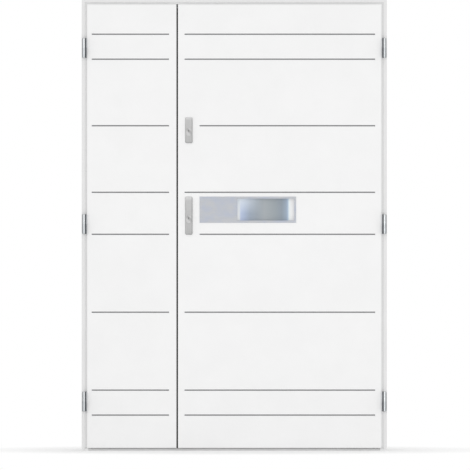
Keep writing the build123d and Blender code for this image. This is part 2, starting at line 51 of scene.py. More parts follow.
# adds a node with its values, links and settings. A Mix node that mixes colours has its
# share at input 0, the colours at 6 and 7 and the result at output 2
def addNode(tree, kind, values=None, links=None, **settings):
    node = tree.nodes.new(kind)
    for key, value in settings.items():
        setattr(node, key, value)
    for key, value in (values or {}).items():
        node.inputs[key].default_value = value
    for key, source in (links or {}).items():
        tree.links.new(source, node.inputs[key])
    return node


def newMaterial(name, metallic=0.0, roughness=0.5):
    material = bpy.data.materials.new(name)
    material.use_nodes = True
    tree = material.node_tree
    shader = tree.nodes["Principled BSDF"]
    shader.inputs["Metallic"].default_value = metallic
    shader.inputs["Roughness"].default_value = roughness
    return material, tree, shader


# the part of a noise pattern's range that tones and roughness are spread over
noiseSpread = {"tones": (0.35, 0.65), "roughness": (0.3, 0.7)}


# a cloudy pattern whose grains have the given length on each axis, in metres
def grainPattern(tree, lengths, detail=3.0):
    place = addNode(tree, "ShaderNodeTexCoord")
    stretch = addNode(tree, "ShaderNodeMapping", {"Scale": [1 / length for length in lengths]},
                      {"Vector": place.outputs["Object"]})
    noise = addNode(tree, "ShaderNodeTexNoise", {"Scale": 1.0, "Detail": detail},
                    {"Vector": stretch.outputs["Vector"]})
    return noise.outputs["Fac"]


# a colour that wanders between two tones with a pattern
def tonePair(tree, pattern, first, second):
    low, high = noiseSpread["tones"]
    share = addNode(tree, "ShaderNodeMapRange", {"From Min": low, "From Max": high},
                    {"Value": pattern})
    mixed = addNode(tree, "ShaderNodeMix", {6: hexColour(first), 7: hexColour(second)},
                    {0: share.outputs["Result"]}, data_type="RGBA")
    return mixed.outputs[2]


def roughnessFrom(tree, shader, pattern, smooth, rough):
    low, high = noiseSpread["roughness"]
    spread = addNode(tree, "ShaderNodeMapRange",
                     {"From Min": low, "From Max": high, "To Min": smooth, "To Max": rough},
                     {"Value": pattern})
    tree.links.new(spread.outputs["Result"], shader.inputs["Roughness"])


def bumpFrom(tree, shader, pattern, depth):
    bump = addNode(tree, "ShaderNodeBump", {"Distance": depth, "Strength": 1.0},
                   {"Height": pattern})
    tree.links.new(bump.outputs["Normal"], shader.inputs["Normal"])


# the place of a point on the door, as outputs named X, Y and Z
def doorAxes(tree):
    place = addNode(tree, "ShaderNodeTexCoord")
    axes = addNode(tree, "ShaderNodeSeparateXYZ", links={"Vector": place.outputs["Object"]})
    return axes.outputs


# a number that grows from 0 to 1 between two places along one axis of the door
def spanShare(tree, axis, start, end, mirrored=False):
    value = doorAxes(tree)[axis]
    if mirrored:
        value = addNode(tree, "ShaderNodeMath", links={0: value}, operation="ABSOLUTE").outputs[0]
    spread = addNode(tree, "ShaderNodeMapRange", {"From Min": start, "From Max": end},
                     {"Value": value})
    return spread.outputs["Result"]


# a colour that runs through the given stops, each a share and its tone
def toneRamp(tree, share, stops):
    ramp = addNode(tree, "ShaderNodeValToRGB", links={"Fac": share})
    elements = ramp.color_ramp.elements
    elements.remove(elements[1])
    elements[0].position = stops[0][0]
    elements[0].color = hexColour(stops[0][1])
    for position, tone in stops[1:]:
        elements.new(position).color = hexColour(tone)
    return ramp.outputs["Color"]


# Materials

lacquer = {
    "leafTones": ("#f3f3f3", "#f5f5f5"),
    # the frame's tones: the leaf's white lacquer drawn darker, a painted shade
    "frameShadedTones": ("#e3e3e3", "#e6e6e6"),
    # the grooves' grey is painted shade
    "grooveShadeTone": "#8e8f91",
    # the arris line's black is painted shade of the meeting joint
    "jointShadeTone": "#1a1a1b",
    "roughness": (0.38, 0.48),
    "orangePeel": 2.5 * mm,
    "peelDepth": 0.02 * mm,
    "cloud": 160 * mm,
}


# sprayed satin lacquer: an even skin with a faint orange peel, a little duller where
# the spray ran thin
def sprayedLacquer(name, tones):
    material, tree, shader = newMaterial(name)
    cloud = grainPattern(tree, [lacquer["cloud"]] * 3)
    peel = grainPattern(tree, [lacquer["orangePeel"]] * 3, detail=2.0)
    colour = tonePair(tree, cloud, *tones)
    tree.links.new(colour, shader.inputs["Base Color"])
    roughnessFrom(tree, shader, cloud, *lacquer["roughness"])
    bumpFrom(tree, shader, peel, lacquer["peelDepth"])
    return material, tree, shader, colour


leafFaces = {
    "face": -57.5 * mm,
    # the grooves' painted shade is drawn between these depths
    "grooveShade": (0.2 * mm, 1.5 * mm),  # the depths between which the coat turns grey
    "activeSpan": (-229.2 * mm, 648.8 * mm),
    "inactiveSpan": (-656.8 * mm, -300.9 * mm),
    "activeArris": (-259.35 * mm, -259.4 * mm),
    "inactiveArris": (-266.7 * mm, -266.65 * mm),
    "arrisDepth": 1.6 * mm,
    "fade": 0.1 * mm,
}


# the leaf's lacquer, with painted shade in the milled grooves, a grey drawn on their walls
# and floors, and a black line painted along the arris that meets the other leaf, painted
# shade so that the joint and its seal read as one dark line
def leafLacquer(name, span, arris):
    material, tree, shader, colour = sprayedLacquer(name, lacquer["leafTones"])
    face = leafFaces["face"]
    fade = leafFaces["fade"]
    shallow, deep = leafFaces["grooveShade"]
    inside = spanShare(tree, "Y", face + shallow, face + deep)
    fromLeft = spanShare(tree, "X", span[0] - fade, span[0])
    toRight = spanShare(tree, "X", span[1] + fade, span[1])
    along = addNode(tree, "ShaderNodeMath", links={0: fromLeft, 1: toRight},
                    operation="MULTIPLY")
    groove = addNode(tree, "ShaderNodeMath", links={0: inside, 1: along.outputs[0]},
                     operation="MULTIPLY")
    grooved = addNode(tree, "ShaderNodeMix", {7: hexColour(lacquer["grooveShadeTone"])},
                      {0: groove.outputs[0], 6: colour}, data_type="RGBA")
    # the black arris line: painted shade of the joint
    lineEnd = face + leafFaces["arrisDepth"]
    front = spanShare(tree, "Y", lineEnd, lineEnd - fade)
    line = addNode(tree, "ShaderNodeMath", links={0: front, 1: spanShare(tree, "X", *arris)},
                   operation="MULTIPLY")
    lined = addNode(tree, "ShaderNodeMix", {7: hexColour(lacquer["jointShadeTone"])},
                    {0: line.outputs[0], 6: grooved.outputs[2]}, data_type="RGBA")
    tree.links.new(lined.outputs[2], shader.inputs["Base Color"])
    return material


pine = {
    "tones": ("#e9e6df", "#f2f0ea"),
    "roughness": (0.48, 0.62),
    "grain": (2.2 * mm, 2.2 * mm, 90 * mm),
    "grainDepth": 0.05 * mm,
}


# planed pine under a thin white primer: the grain still shows as faint long streaks
def primedPine():
    material, tree, shader = newMaterial("primedPine")
    grain = grainPattern(tree, pine["grain"], detail=4.0)
    tree.links.new(tonePair(tree, grain, *pine["tones"]), shader.inputs["Base Color"])
    roughnessFrom(tree, shader, grain, *pine["roughness"])
    bumpFrom(tree, shader, grain, pine["grainDepth"])
    return material


oak = {
    "tones": ("#5f3f26", "#8a6440"),
    "roughness": (0.42, 0.6),
    "grain": (120 * mm, 2.5 * mm, 2.5 * mm),
    "pores": (14 * mm, 0.8 * mm, 0.8 * mm),
    "poreDepth": 0.15 * mm,
}


# oiled oak: long brown streaks along the sill and short open pores
def oiledOak():
    material, tree, shader = newMaterial("oiledOak")
    grain = grainPattern(tree, oak["grain"], detail=5.0)
    pores = grainPattern(tree, oak["pores"], detail=2.0)
    tree.links.new(tonePair(tree, grain, *oak["tones"]), shader.inputs["Base Color"])
    roughnessFrom(tree, shader, pores, *oak["roughness"])
    bumpFrom(tree, shader, pores, oak["poreDepth"])
    return material


foam = {
    "tones": ("#e6ddb4", "#f1ead0"),
    "roughness": 0.85,
    "cell": 3 * mm,
    "cellDepth": 0.4 * mm,
}


# cut rigid foam: pale yellow with small open cells
def rigidFoam():
    material, tree, shader = newMaterial("rigidFoam", roughness=foam["roughness"])
    place = addNode(tree, "ShaderNodeTexCoord")
    cells = addNode(tree, "ShaderNodeTexVoronoi", {"Scale": 1 / foam["cell"]},
                    {"Vector": place.outputs["Object"]}).outputs["Distance"]
    tree.links.new(tonePair(tree, cells, *foam["tones"]), shader.inputs["Base Color"])
    bumpFrom(tree, shader, cells, foam["cellDepth"])
    return material


rubber = {
    "blackSealRubber": ("#131314", "#1e1e1f"),
    "greyCoverRubber": ("#dadada", "#dfdfdf"),
    "roughness": (0.62, 0.78),
    "mottle": 6 * mm,
    "fine": 0.8 * mm,
    "fineDepth": 0.03 * mm,
}


# extruded EPDM: matt with a soft bloom
def extrudedRubber(name):
    material, tree, shader = newMaterial(name)
    mottle = grainPattern(tree, [rubber["mottle"]] * 3)
    fine = grainPattern(tree, [rubber["fine"]] * 3, detail=1.0)
    tree.links.new(tonePair(tree, mottle, *rubber[name]), shader.inputs["Base Color"])
    roughnessFrom(tree, shader, mottle, *rubber["roughness"])
    bumpFrom(tree, shader, fine, rubber["fineDepth"])
    return material


# each metal: its two tones, the roughness it varies between, and the length of its brush
# marks on X, Y and Z, drawn about four times as coarse as real ones so that they show
metals = {
    # stainless sheet of the insert, brushed from side to side: long soft streaks
    "brushedStainless": {"tones": ("#bcbec2", "#c3c5c9"), "roughness": (0.3, 0.42),
                         "marks": (60 * mm, 1.6 * mm, 1.6 * mm), "depth": 0.012 * mm},
    # stainless plates and thumb turns inside, ground upwards: a quiet grey
    "satinStainless": {"tones": ("#b8b8b8", "#c4c4c4"), "roughness": (0.34, 0.46),
                       "marks": (1.4 * mm, 1.4 * mm, 40 * mm), "depth": 0.012 * mm},
    # the lever's bar, brushed along its length
    "leverStainless": {"tones": ("#bababa", "#c8c8c8"), "roughness": (0.3, 0.42),
                       "marks": (40 * mm, 1.2 * mm, 1.2 * mm), "depth": 0.012 * mm},
    # the outer plates, ground upwards: a pale satin that takes its shade from plateShade
    "mainSatinPlate": {"tones": ("#f4f4f4", "#ffffff"), "roughness": (0.34, 0.46),
                       "marks": (1.4 * mm, 1.4 * mm, 40 * mm), "depth": 0.012 * mm},
    "upperSatinPlate": {"tones": ("#f4f4f4", "#ffffff"), "roughness": (0.34, 0.46),
                        "marks": (1.4 * mm, 1.4 * mm, 40 * mm), "depth": 0.012 * mm},
    # nickel of the cylinders' bodies and of the plugs, smoother and with shorter marks
    "turnedNickel": {"tones": ("#f4f4f4", "#ffffff"), "roughness": (0.26, 0.36),
                     "marks": (1.2 * mm, 4 * mm, 1.2 * mm), "depth": 0.01 * mm},
    "polishedNickel": {"tones": ("#f4f4f4", "#ffffff"), "roughness": (0.2, 0.3),
                       "marks": (1.2 * mm, 4 * mm, 1.2 * mm), "depth": 0.006 * mm},
    # zinc on bolts, cases, strikes and screws: grey with a faint cloud
    "zincPlatedSteel": {"tones": ("#a7a9ab", "#c2c4c5"), "roughness": (0.28, 0.45),
                        "marks": (3 * mm, 3 * mm, 9 * mm), "depth": 0.015 * mm},
    # rolled steel of the hinges' upper and lower halves, the lower ones a little rougher and
    # drawn darker, a painted shade
    "upperHingeSteel": {"tones": ("#f0f2f4", "#fcfcfc"), "roughness": (0.24, 0.34),
                        "marks": (1.2 * mm, 1.2 * mm, 30 * mm), "depth": 0.01 * mm},
    "lowerHingeSteel": {"tones": ("#e2e4e6", "#f0f2f4"), "roughness": (0.26, 0.36),
                        "marks": (1.2 * mm, 1.2 * mm, 30 * mm), "depth": 0.01 * mm},
    # drawn and anodised aluminium: even, with long fine lines
    "anodisedAluminium": {"tones": ("#bcbcbc", "#cacaca"), "roughness": (0.32, 0.42),
                          "marks": (80 * mm, 1.5 * mm, 1.5 * mm), "depth": 0.01 * mm},
}


# metal with fine brush marks in one direction, which spread its shine along them
def brushedMetal(name):
    values = metals[name]
    material, tree, shader = newMaterial(name, metallic=1.0)
    marks = grainPattern(tree, values["marks"])
    colour = tonePair(tree, marks, *values["tones"])
    tree.links.new(colour, shader.inputs["Base Color"])
    roughnessFrom(tree, shader, marks, *values["roughness"])
    bumpFrom(tree, shader, marks, values["depth"])
    return material, tree, shader, colour


hingeShading = {
    "outer": 701 * mm,
    "inner": 678 * mm,
    # painted highlight and shade across the barrel, from its outer side to the leaf's side
    "across": ((0.0, "#9a9c9d"), (0.1, "#a2a4a5"), (0.2, "#b2b4b6"), (0.34, "#d2d4d5"),
               (0.42, "#eceeef"), (0.52, "#eceeef"), (0.56, "#606264"), (0.84, "#66686a"),
               (0.89, "#c4c6c8"), (1.0, "#ccced0")),
}


# rolled hinge steel with painted light and shade across the barrel: a painted highlight
# along its crest, painted shade at its outer side and a dark band of painted shade on the
# leaf's side
def hingeSteel(name):
    material, tree, shader, colour = brushedMetal(name)
    across = spanShare(tree, "X", hingeShading["outer"], hingeShading["inner"], mirrored=True)
    bands = toneRamp(tree, across, hingeShading["across"])
    banded = addNode(tree, "ShaderNodeMix", {0: 1.0}, {6: colour, 7: bands}, data_type="RGBA",
                     blend_type="MULTIPLY")
    tree.links.new(banded.outputs[2], shader.inputs["Base Color"])
    return material


plateShade = {
    "main": (994 * mm, 1171 * mm),
    "upper": (1416 * mm, 1536 * mm),
    # the tones below are painted light and shade: darker at the foot, pale at the top, pale
    # chamfers on the left and dark on the right
    "upwards": ((0.0, "#b6b6b6"), (0.12, "#bdbdbd"), (0.88, "#c4c4c4"), (0.94, "#d2d2d2"),
                (1.0, "#dedede")),
    "left": -227.5 * mm,
    "right": -193 * mm,
    "chamfer": ((0.0, "#ffffff"), (0.12, "#f2f2f2"), (0.2, "#c6c6c6"), (0.75, "#aaaaaa"),
                (1.0, "#787878")),
    "topWidth": 9 * mm,
    "topHighlightTone": "#ffffff",
    "front": -63 * mm,
    "back": -61 * mm,
}


# satin steel of an outer plate, with painted shade darker towards its foot and a painted
# highlight pale at its top. Its chamfers are painted from a pale highlight on the left to dark
# shade on the right, and its top chamfer is painted white, a painted highlight
def plateSteel(which):
    material, tree, shader, colour = brushedMetal(which + "SatinPlate")
    foot, top = plateShade[which]
    face = toneRamp(tree, spanShare(tree, "Z", foot, top), plateShade["upwards"])
    across = spanShare(tree, "X", plateShade["left"], plateShade["right"])
    sides = toneRamp(tree, across, plateShade["chamfer"])
    nearTop = spanShare(tree, "Z", top - plateShade["topWidth"], top)
    chamfer = addNode(tree, "ShaderNodeMix", {7: hexColour(plateShade["topHighlightTone"])},
                      {0: nearTop, 6: sides}, data_type="RGBA")
    deep = spanShare(tree, "Y", plateShade["front"], plateShade["back"])
    shades = addNode(tree, "ShaderNodeMix", links={0: deep, 6: face, 7: chamfer.outputs[2]},
                     data_type="RGBA")
    shaded = addNode(tree, "ShaderNodeMix", {0: 1.0}, {6: colour, 7: shades.outputs[2]},
                     data_type="RGBA", blend_type="MULTIPLY")
    tree.links.new(shaded.outputs[2], shader.inputs["Base Color"])
    return material


nickelSheen = {
    "pitch": 402 * mm,
    "slant": (33.8 * mm, 73.8 * mm),
    # painted highlight and shade across the slanting band
    "across": ((0.0, "#cccccc"), (0.12, "#d4d4d4"), (0.28, "#cccccc"), (0.44, "#bcbcbc"),
               (0.58, "#b2b2b2"), (0.7, "#b4b4b4"), (0.84, "#cacaca"), (1.0, "#d6d6d6")),
    # the keyway's dark tone is painted shade in the recess
    "keyway": (-68.9 * mm, -68.4 * mm),
    "keywayShadeTone": "#353536",
}


# nickel of the lock cylinders and plugs, with a painted sheen: slanting bands of painted
# highlight and shade across the face. The two cylinders stand one pitch apart, so the
# remainder of the height serves both
def nickelFace(name):
    material, tree, shader, colour = brushedMetal(name)
    axes = doorAxes(tree)
    level = addNode(tree, "ShaderNodeMath", {1: nickelSheen["pitch"]}, {0: axes["Z"]},
                    operation="MODULO")
    slant = addNode(tree, "ShaderNodeMath", links={0: axes["X"], 1: level.outputs[0]},
                    operation="ADD")
    low, high = nickelSheen["slant"]
    share = addNode(tree, "ShaderNodeMapRange", {"From Min": low, "From Max": high},
                    {"Value": slant.outputs[0]})
    bands = toneRamp(tree, share.outputs["Result"], nickelSheen["across"])
    sheen = addNode(tree, "ShaderNodeMix", {0: 1.0}, {6: colour, 7: bands}, data_type="RGBA",
                    blend_type="MULTIPLY").outputs[2]
    tree.links.new(sheen, shader.inputs["Base Color"])
    return material, tree, shader, sheen


# the plug's nickel, with its keyway drawn dark inside: painted shade in the recess
def keyedNickel(name):
    material, tree, shader, sheen = nickelFace(name)
    deep = spanShare(tree, "Y", *nickelSheen["keyway"])
    keyed = addNode(tree, "ShaderNodeMix", {7: hexColour(nickelSheen["keywayShadeTone"])},
                    {0: deep, 6: sheen}, data_type="RGBA")
    tree.links.new(keyed.outputs[2], shader.inputs["Base Color"])
    return material


insertBloom = {"size": (60 * mm, 60 * mm, 40 * mm), "spread": (0.36, 0.7), "tone": "#b6bcca"}


# brushed steel of the insert, with the bluish bloom that rolling leaves in the sheet
def insertSteel():
    material, tree, shader, colour = brushedMetal("brushedStainless")
    bloom = grainPattern(tree, insertBloom["size"], detail=2.0)
    low, high = insertBloom["spread"]
    share = addNode(tree, "ShaderNodeMapRange", {"From Min": low, "From Max": high},
                    {"Value": bloom})
    bloomed = addNode(tree, "ShaderNodeMix", {7: hexColour(insertBloom["tone"])},
                      {0: share.outputs["Result"], 6: colour}, data_type="RGBA")
    tree.links.new(bloomed.outputs[2], shader.inputs["Base Color"])
    return material


etchedGlass = {
    "left": 13.8 * mm,
    "right": 276.4 * mm,
    "top": 1160.2 * mm,
    # the milky tint with painted reflections, and painted highlights at both sides
    "across": ((0.0, "#fafdff"), (0.035, "#fafdff"), (0.06, "#c4d1ec"), (0.13, "#b3c1da"),
               (0.22, "#a4b0c0"), (0.34, "#a2acb6"), (0.48, "#aeb4b9"), (0.66, "#a1aab0"),
               (0.78, "#96a2ad"), (0.86, "#a2b2c4"), (0.885, "#b4c8de"), (0.91, "#f2fcff"),
               (0.94, "#ffffff")),
    # a painted reflection of the sky towards the upper left
    "skyReflectionTone": "#f0f8ff",
    "skyEnd": 130 * mm,
    "skyFoot": 1092 * mm,
    "grit": 1.2 * mm,
    "gritDepth": 0.02 * mm,
    "roughness": 0.16,
    "ior": 1.5,
    "transmission": 0.1,
}


# acid-etched glass: milky and cool, with painted reflections in its tones across the pane,
# a paler painted reflection towards its upper left corner and bright strips at both sides,
# painted highlights
def acidEtchedGlass():
    values = etchedGlass
    material, tree, shader = newMaterial("acidEtchedGlass", roughness=values["roughness"])
    across = spanShare(tree, "X", values["left"], values["right"])
    tintAndReflections = toneRamp(tree, across, values["across"])
    toLeft = spanShare(tree, "X", values["skyEnd"], values["left"])
    upwards = spanShare(tree, "Z", values["skyFoot"], values["top"])
    sky = addNode(tree, "ShaderNodeMath", links={0: toLeft, 1: upwards}, operation="MULTIPLY")
    withSkyReflection = addNode(tree, "ShaderNodeMix", {7: hexColour(values["skyReflectionTone"])},
                    {0: sky.outputs[0], 6: tintAndReflections}, data_type="RGBA")
    tree.links.new(withSkyReflection.outputs[2], shader.inputs["Base Color"])
    grit = grainPattern(tree, [values["grit"]] * 3, detail=2.0)
    bumpFrom(tree, shader, grit, values["gritDepth"])
    shader.inputs["IOR"].default_value = values["ior"]
    shader.inputs["Transmission Weight"].default_value = values["transmission"]
    return material


# each finish: its material and the nodes that wear it
finishes = {
    "frameLacquer": (sprayedLacquer("sprayedFrame", lacquer["frameShadedTones"])[0],
                     ["jamb_left", "jamb_right", "head"]),
    "activeLacquer": (leafLacquer("sprayedWideLeaf", leafFaces["activeSpan"],
                                  leafFaces["activeArris"]),
                      ["active_outer_skin"]),
    "inactiveLacquer": (leafLacquer("sprayedNarrowLeaf", leafFaces["inactiveSpan"],
                                    leafFaces["inactiveArris"]),
                        ["inactive_outer_skin"]),
    "innerLacquer": (sprayedLacquer("sprayedInnerSkin", lacquer["leafTones"])[0],
                     ["active_inner_skin", "inactive_inner_skin", "active_hinge_stile",
                      "active_lock_stile", "inactive_hinge_stile", "inactive_lock_stile",
                      "active_top_rail", "inactive_top_rail"]),
    "primedPine": (primedPine(), ["active_bottom_rail", "inactive_bottom_rail", "glazing_liner"]),
    "oiledOak": (oiledOak(), ["threshold_sill"]),
    "rigidFoam": (rigidFoam(), ["active_core", "inactive_core"]),
    "blackSealRubber": (extrudedRubber("blackSealRubber"),
                        ["jamb_seal_left", "jamb_seal_right", "head_seal", "threshold_seal",
                         "meeting_seal"]),
    "greyCoverRubber": (extrudedRubber("greyCoverRubber"),
                        ["cover_seal_left", "cover_seal_right", "head_cover_seal"]),
    "brushedStainless": (insertSteel(), ["insert_plate", "inner_bezel"]),
    "mainSatinPlate": (plateSteel("main"), ["main_outer_plate"]),
    "upperSatinPlate": (plateSteel("upper"), ["upper_outer_plate"]),
    "satinStainless": (brushedMetal("satinStainless")[0],
                       ["main_inner_plate", "upper_inner_plate", "main_thumb_turn",
                        "upper_thumb_turn"]),
    "leverStainless": (brushedMetal("leverStainless")[0], ["lever_handle"]),
    "turnedNickel": (nickelFace("turnedNickel")[0], ["lock_cylinders"]),
    "polishedNickel": (keyedNickel("polishedNickel"), ["main_plug", "upper_plug"]),
    "zincPlatedSteel": (brushedMetal("zincPlatedSteel")[0],
                        ["main_lock_case", "upper_lock_case", "main_forend", "upper_forend",
                         "main_strike", "upper_strike", "main_dead_bolt", "upper_dead_bolt",
                         "main_latch_bolt", "flush_bolt_keeps", "flush_bolt_plates",
                         "flush_bolt_top", "flush_bolt_bottom"]),
    "upperHingeSteel": (hingeSteel("upperHingeSteel"),
                        ["hinge_leaf_halves_left", "hinge_leaf_halves_right"]),
    "lowerHingeSteel": (hingeSteel("lowerHingeSteel"),
                        ["hinge_frame_halves_left", "hinge_frame_halves_right"]),
    "anodisedAluminium": (brushedMetal("anodisedAluminium")[0],
                          ["threshold_rail", "glass_spacer"]),
    "acidEtchedGlass": (acidEtchedGlass(), ["glass_panes"]),
}
for material, names in finishes.values():
    for name in names:
        slots = nodes[name].data.materials
        slots.clear()
        slots.append(material)
print("materials")


# Eased edges

easedEdges = {
    "width": 0.8 * mm,
    "thinWidth": 0.4 * mm,
    "segments": 2,
    "sharpest": 40,  # edges that turn by fewer degrees than this stay as they are
    "weld": 0.001 * mm,
    "pieces": ["active_outer_skin", "inactive_outer_skin", "active_inner_skin",
               "inactive_inner_skin", "head", "threshold_sill"],
    "thinPieces": ["insert_plate", "inner_bezel", "threshold_rail"],
}


# lacquered wood and brushed sheet have no knife edges: a small rounding catches the light
def easeEdges(name, width):
    weld = nodes[name].modifiers.new("weld", "WELD")
    weld.merge_threshold = easedEdges["weld"]
    bevel = nodes[name].modifiers.new("bevel", "BEVEL")
    bevel.width = width
    bevel.segments = easedEdges["segments"]
    bevel.limit_method = "ANGLE"
    bevel.angle_limit = math.radians(easedEdges["sharpest"])


for name in easedEdges["pieces"]:
    easeEdges(name, easedEdges["width"])
for name in easedEdges["thinPieces"]:
    easeEdges(name, easedEdges["thinWidth"])
print("eased edges")


# Screws

screw = {
    "radius": 3.4 * mm,
    "depth": 1.2 * mm,
    "proud": 0.25 * mm,
    "sides": 24,
    "edge": 0.25 * mm,
    "edgeSegments": 2,
    "recess": 1.9 * mm,
    "recessDepth": 0.8 * mm,
    "crossWaist": 0.42,
    "diagonal": 0.6,  # the sine of twice the turn, past which a point lies between two arms
}


# one countersunk head with a cross recess, made at the origin and facing up
def makeScrewHead():
    bpy.ops.object.select_all(action="DESELECT")
    middle = screw["proud"] - screw["depth"] / 2
    bpy.ops.mesh.primitive_cylinder_add(vertices=screw["sides"], radius=screw["radius"],
                                        depth=screw["depth"], location=(0, 0, middle))
    head = bpy.context.object
    bpy.ops.object.transform_apply(location=True)
    bpy.ops.object.mode_set(mode="EDIT")
    selectTop(head)
    bpy.ops.mesh.bevel(offset=screw["edge"], segments=screw["edgeSegments"], affect="EDGES")
    selectTop(head)
    bpy.ops.mesh.inset(thickness=screw["radius"] - screw["edge"] - screw["recess"])
    pinchCross(head)
    sink = (0, 0, -screw["recessDepth"])
    bpy.ops.mesh.extrude_region_move(TRANSFORM_OT_translate={"value": sink})
    bpy.ops.object.mode_set(mode="OBJECT")
    return head


def selectTop(head):
    mesh = bmesh.from_edit_mesh(head.data)
    top = max(mesh.faces, key=lambda face: face.calc_center_median().z)
    for face in mesh.faces:
        face.select_set(False)
    top.select_set(True)
    bmesh.update_edit_mesh(head.data)


# draws the diagonal points of the inner ring inwards, so that the recess is a cross
def pinchCross(head):
    mesh = bmesh.from_edit_mesh(head.data)
    for point in [v for v in mesh.verts if v.select]:
        turn = math.atan2(point.co.y, point.co.x)
        if abs(math.sin(2 * turn)) > screw["diagonal"]:
            point.co.x *= screw["crossWaist"]
            point.co.y *= screw["crossWaist"]
    bmesh.update_edit_mesh(head.data)


facings = {
    "front": Matrix.Rotation(math.radians(90), 4, "X"),
    "back": Matrix.Rotation(math.radians(-90), 4, "X"),
    "left": Matrix.Rotation(math.radians(-90), 4, "Y"),
    "right": Matrix.Rotation(math.radians(90), 4, "Y"),
    "up": Matrix.Identity(4),
    "down": Matrix.Rotation(math.radians(180), 4, "X"),
}


def placeScrew(head, name, body, spot, facing, size):
    copy = head.copy()
    copy.data = head.data.copy()
    copy.name = name
    copy.data.transform(Matrix.Translation(spot) @ facings[facing] @ Matrix.Scale(size, 4))
    scene.collection.objects.link(copy)
    copy.data.materials.clear()
    copy.data.materials.append(finishes["zincPlatedSteel"][0])
    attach(copy, body)


screwPlaces = {
    "hingeLevels": (226 * mm, 1043 * mm, 1854 * mm),
    "hingePitch": 30 * mm,
    "frameFoot": (677 * mm, -33.5 * mm),
    "leafFoot": (671.5 * mm, -34.5 * mm),
    "endInset": 10 * mm,
    "plateInset": 9 * mm,
    "bezelInset": 10 * mm,
    "boltLine": -25.5 * mm,
}
screwSizes = {"hinge": 1.0, "plate": 0.8, "bezel": 0.75, "bolt": 0.7}

# the flush bolts' plates and keeps: body, facing and the places of their screws on X and
# Z, in millimetres
boltScrews = {
    "footPlateScrew": ("inactive_leaf", "right", [(-267.5, 46.5), (-267.5, 246.5)]),
    "topPlateScrew": ("inactive_leaf", "right", [(-267.5, 1803), (-267.5, 2003)]),
    "footKeepScrew": ("frame", "up", [(-303.2, 7.5), (-259.2, 7.5)]),
    "headKeepScrew": ("frame", "down", [(-303.2, 2042), (-259.2, 2042)]),
}


# three screws in each foot of every hinge half
def placeHingeScrews(head, side):
    sign = 1 if side == "right" else -1
    leaf = "active_leaf" if side == "right" else "inactive_leaf"
    frameX, frameY = screwPlaces["frameFoot"]
    leafX, leafY = screwPlaces["leafFoot"]
    size = screwSizes["hinge"]
    for row, level in enumerate(screwPlaces["hingeLevels"]):
        for step in (-1, 0, 1):
            z = level + step * screwPlaces["hingePitch"]
            tag = f"{side.title()}{row}{step + 1}"
            frameSpot = (frameX * sign, frameY, z)
            leafSpot = (leafX * sign, leafY, z)
            placeScrew(head, "frameHingeScrew" + tag, "frame", frameSpot, "front", size)
            placeScrew(head, "leafHingeScrew" + tag, leaf, leafSpot, "back", size)


# a screw near each end of an upright plate
def placeEndScrews(head, node, name, body, facing, inset):
    low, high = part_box(node)
    middle = (low + high) / 2
    x = {"left": low.x, "right": high.x}.get(facing, middle.x)
    y = {"front": low.y, "back": high.y}.get(facing, middle.y)
    for end, z in (("Low", low.z + inset), ("High", high.z - inset)):
        placeScrew(head, name + end, body, (x, y, z), facing, screwSizes["plate"])


def placeBezelScrews(head):
    low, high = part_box("inner_bezel")
    inset = screwPlaces["bezelInset"]
    columns = (low.x + inset, (low.x + high.x) / 2, high.x - inset)
    for column, x in enumerate(columns):
        for row, z in enumerate((low.z + inset, high.z - inset)):
            placeScrew(head, f"bezelScrew{column}{row}", "active_leaf", (x, high.y, z), "back",
                       screwSizes["bezel"])


def placeBoltScrews(head):
    for name, (body, facing, places) in boltScrews.items():
        for count, (x, z) in enumerate(places):
            spot = (x * mm, screwPlaces["boltLine"], z * mm)
            placeScrew(head, f"{name}{count}", body, spot, facing, screwSizes["bolt"])


screwHead = makeScrewHead()
for side in ("left", "right"):
    placeHingeScrews(screwHead, side)
for lock in ("main", "upper"):
    placeEndScrews(screwHead, lock + "_inner_plate", lock + "PlateScrew", "active_leaf", "back",
                   screwPlaces["plateInset"])
    placeEndScrews(screwHead, lock + "_forend", lock + "ForendScrew", "active_leaf", "left",
                   screwPlaces["endInset"])
    placeEndScrews(screwHead, lock + "_strike", lock + "StrikeScrew", "inactive_leaf", "right",
                   screwPlaces["endInset"])
placeBezelScrews(screwHead)
placeBoltScrews(screwHead)
bpy.data.objects.remove(screwHead)
print("screws")


# Meeting lip

meetingLip = {
    "section": ((-262.2, -53.8), (-260.9, -53.5), (-260.3, -53.0), (-260.06, -52.3),
                (-260.2, -52.0), (-260.5, -52.4), (-261.0, -52.8), (-262.2, -53.0)),
    "foot": 11.5 * mm,
    "top": 2038 * mm,
}


# the soft lip of the meeting seal, which bends over the last half millimetre to the wide
# leaf
def makeMeetingLip():
    section = meetingLip["section"]
    foot = meetingLip["foot"]
    bpy.ops.object.select_all(action="DESELECT")
    bpy.ops.mesh.primitive_circle_add(vertices=len(section), radius=mm, fill_type="NGON",
                                      location=(0, 0, foot))
    lip = bpy.context.object
    lip.name = "meetingLip"
    bpy.ops.object.transform_apply(location=True)
    for point, (x, y) in zip(lip.data.vertices, section):
        point.co.xy = (x * mm, y * mm)
    bpy.ops.object.mode_set(mode="EDIT")
    bpy.ops.mesh.select_all(action="SELECT")
    rise = (0, 0, meetingLip["top"] - foot)
    bpy.ops.mesh.extrude_region_move(TRANSFORM_OT_translate={"value": rise})
    bpy.ops.mesh.select_all(action="SELECT")
    bpy.ops.mesh.normals_make_consistent()
    bpy.ops.object.mode_set(mode="OBJECT")
    lip.data.materials.append(finishes["blackSealRubber"][0])
    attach(lip, "inactive_leaf")


makeMeetingLip()
print("meeting lip")


# Floor, light and camera

stageValues = {
    "floorSize": 9.0,
    "floorTone": "#fafafa",
    "fadeStart": 0.75,
    "fadeEnd": 1.35,
    "depthFactor": 2.4,
    "ambient": 0.83,
}


